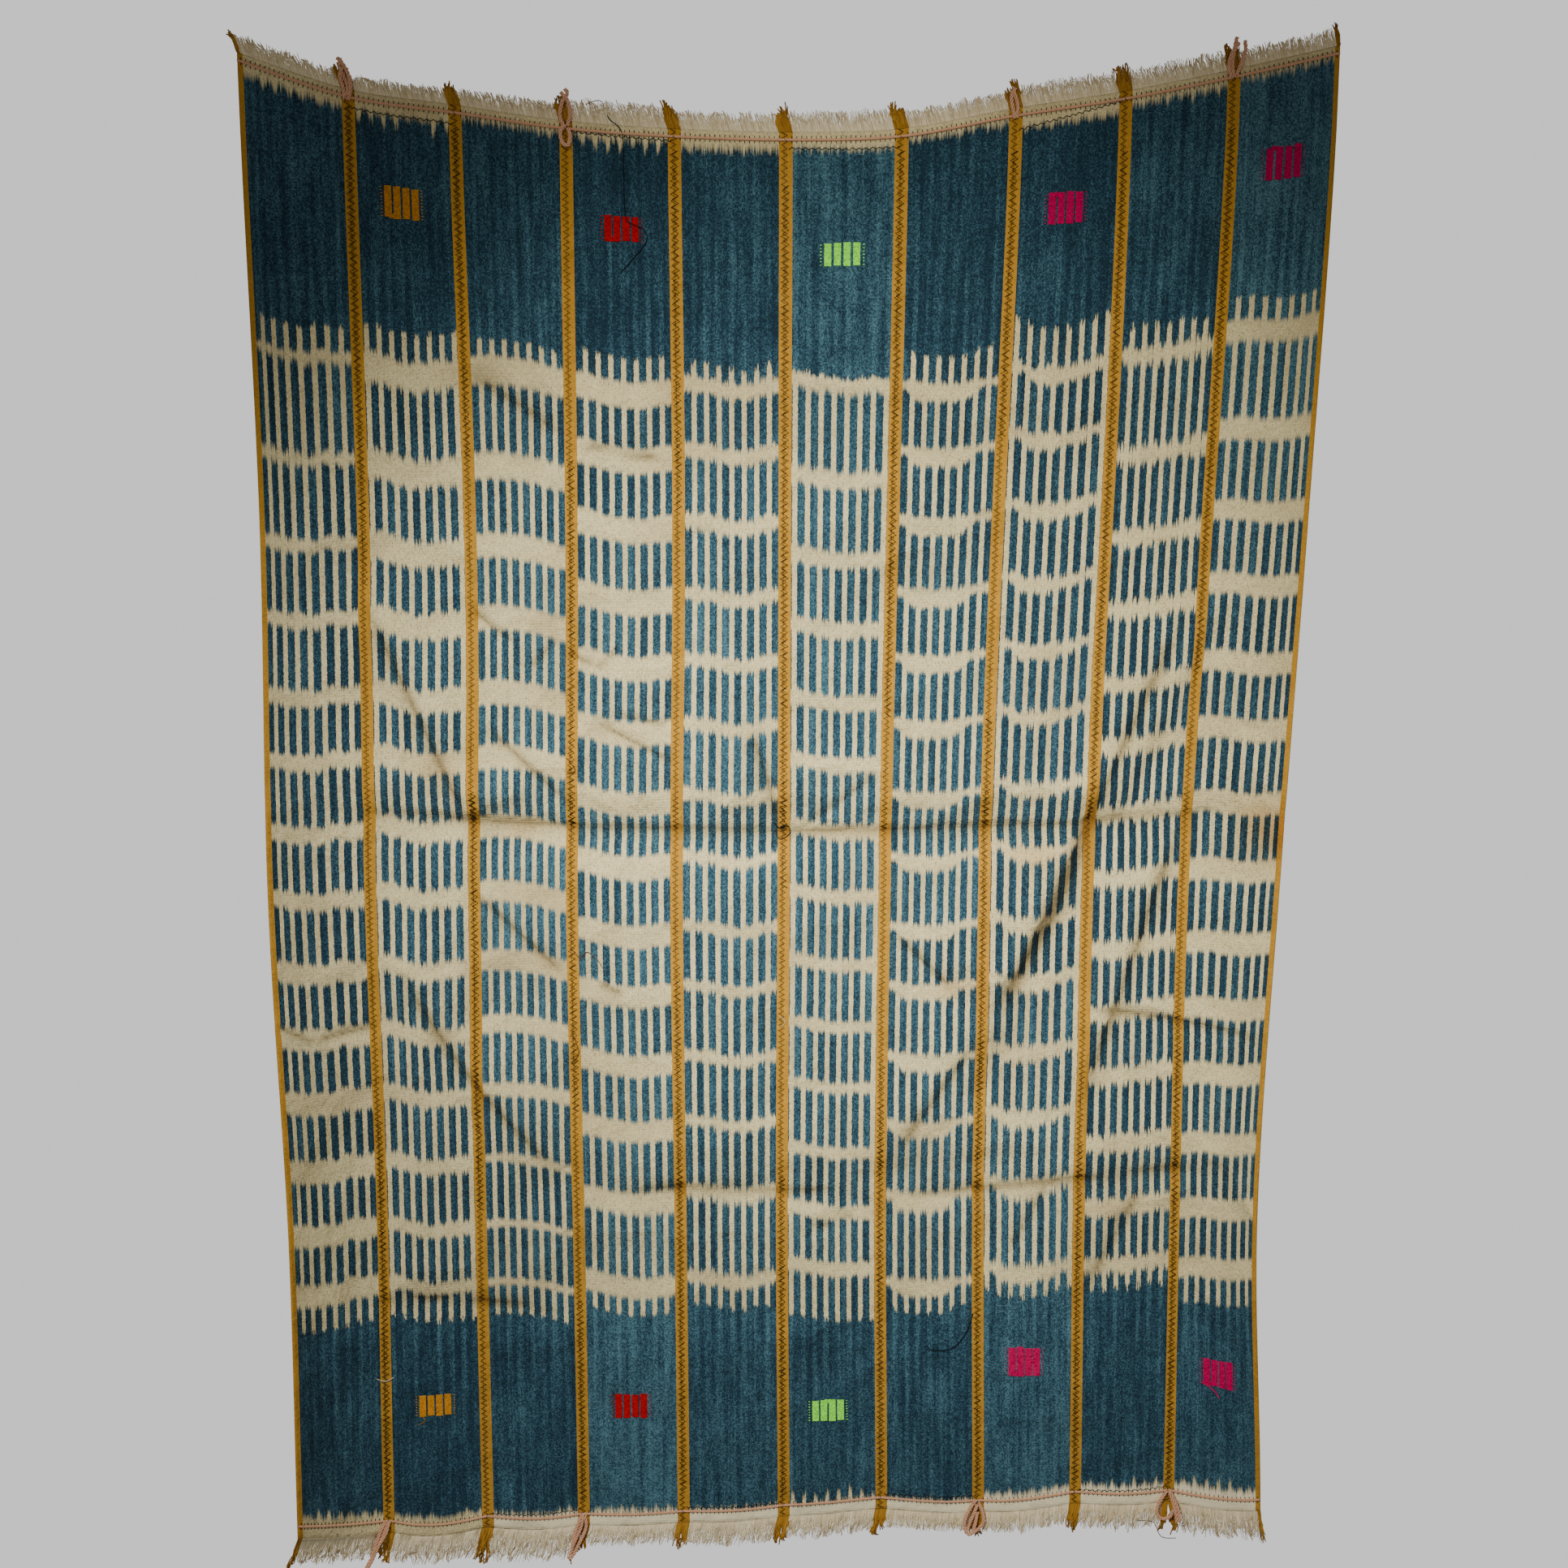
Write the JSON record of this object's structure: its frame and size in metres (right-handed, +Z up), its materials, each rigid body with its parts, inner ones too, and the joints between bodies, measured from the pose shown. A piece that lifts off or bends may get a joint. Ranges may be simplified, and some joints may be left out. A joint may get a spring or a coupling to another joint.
{
  "type": "strip-woven cotton cloth",
  "caption": "Rectangular cloth of narrow hand-woven cotton strips sewn edge to edge, indigo and cream with gold selvedges, fringed at both ends, hanging by its top corners.",
  "frame": {"origin": "middle of the woven top edge, on the seam between the fifth and sixth strips", "axes": "+Z up along the strips, +X to the right seen from the front, the patterned front faces -Y"},
  "size_m": [1.0018, 0.1059, 1.536],
  "materials": {
    "striped_cotton": "matt hand-woven cotton, indigo and cream, gold selvedges",
    "warp_ends": "matt undyed cotton threads",
    "hem_yarn": "matt twisted cotton yarn, peach"
  },
  "bodies": {
    "root": {"strip_01": "striped_cotton", "strip_02": "striped_cotton", "strip_03": "striped_cotton", "strip_04": "striped_cotton", "strip_05": "striped_cotton", "strip_06": "striped_cotton", "strip_07": "striped_cotton", "strip_08": "striped_cotton", "strip_09": "striped_cotton", "strip_10": "striped_cotton", "fringe_top_01": "warp_ends", "fringe_top_02": "warp_ends", "fringe_top_03": "warp_ends", "fringe_top_04": "warp_ends", "fringe_top_05": "warp_ends", "fringe_top_06": "warp_ends", "fringe_top_07": "warp_ends", "fringe_top_08": "warp_ends", "fringe_top_09": "warp_ends", "fringe_top_10": "warp_ends", "fringe_bottom_01": "warp_ends", "fringe_bottom_02": "warp_ends", "fringe_bottom_03": "warp_ends", "fringe_bottom_04": "warp_ends", "fringe_bottom_05": "warp_ends", "fringe_bottom_06": "warp_ends", "fringe_bottom_07": "warp_ends", "fringe_bottom_08": "warp_ends", "fringe_bottom_09": "warp_ends", "fringe_bottom_10": "warp_ends", "yarn_tail_top_1": "hem_yarn", "yarn_tail_top_3": "hem_yarn", "yarn_tail_top_7": "hem_yarn", "yarn_tail_top_9": "hem_yarn", "yarn_tail_bottom_1": "hem_yarn", "yarn_tail_bottom_3": "hem_yarn", "yarn_tail_bottom_7": "hem_yarn", "yarn_tail_bottom_9": "hem_yarn"}
  },
  "joints": []
}
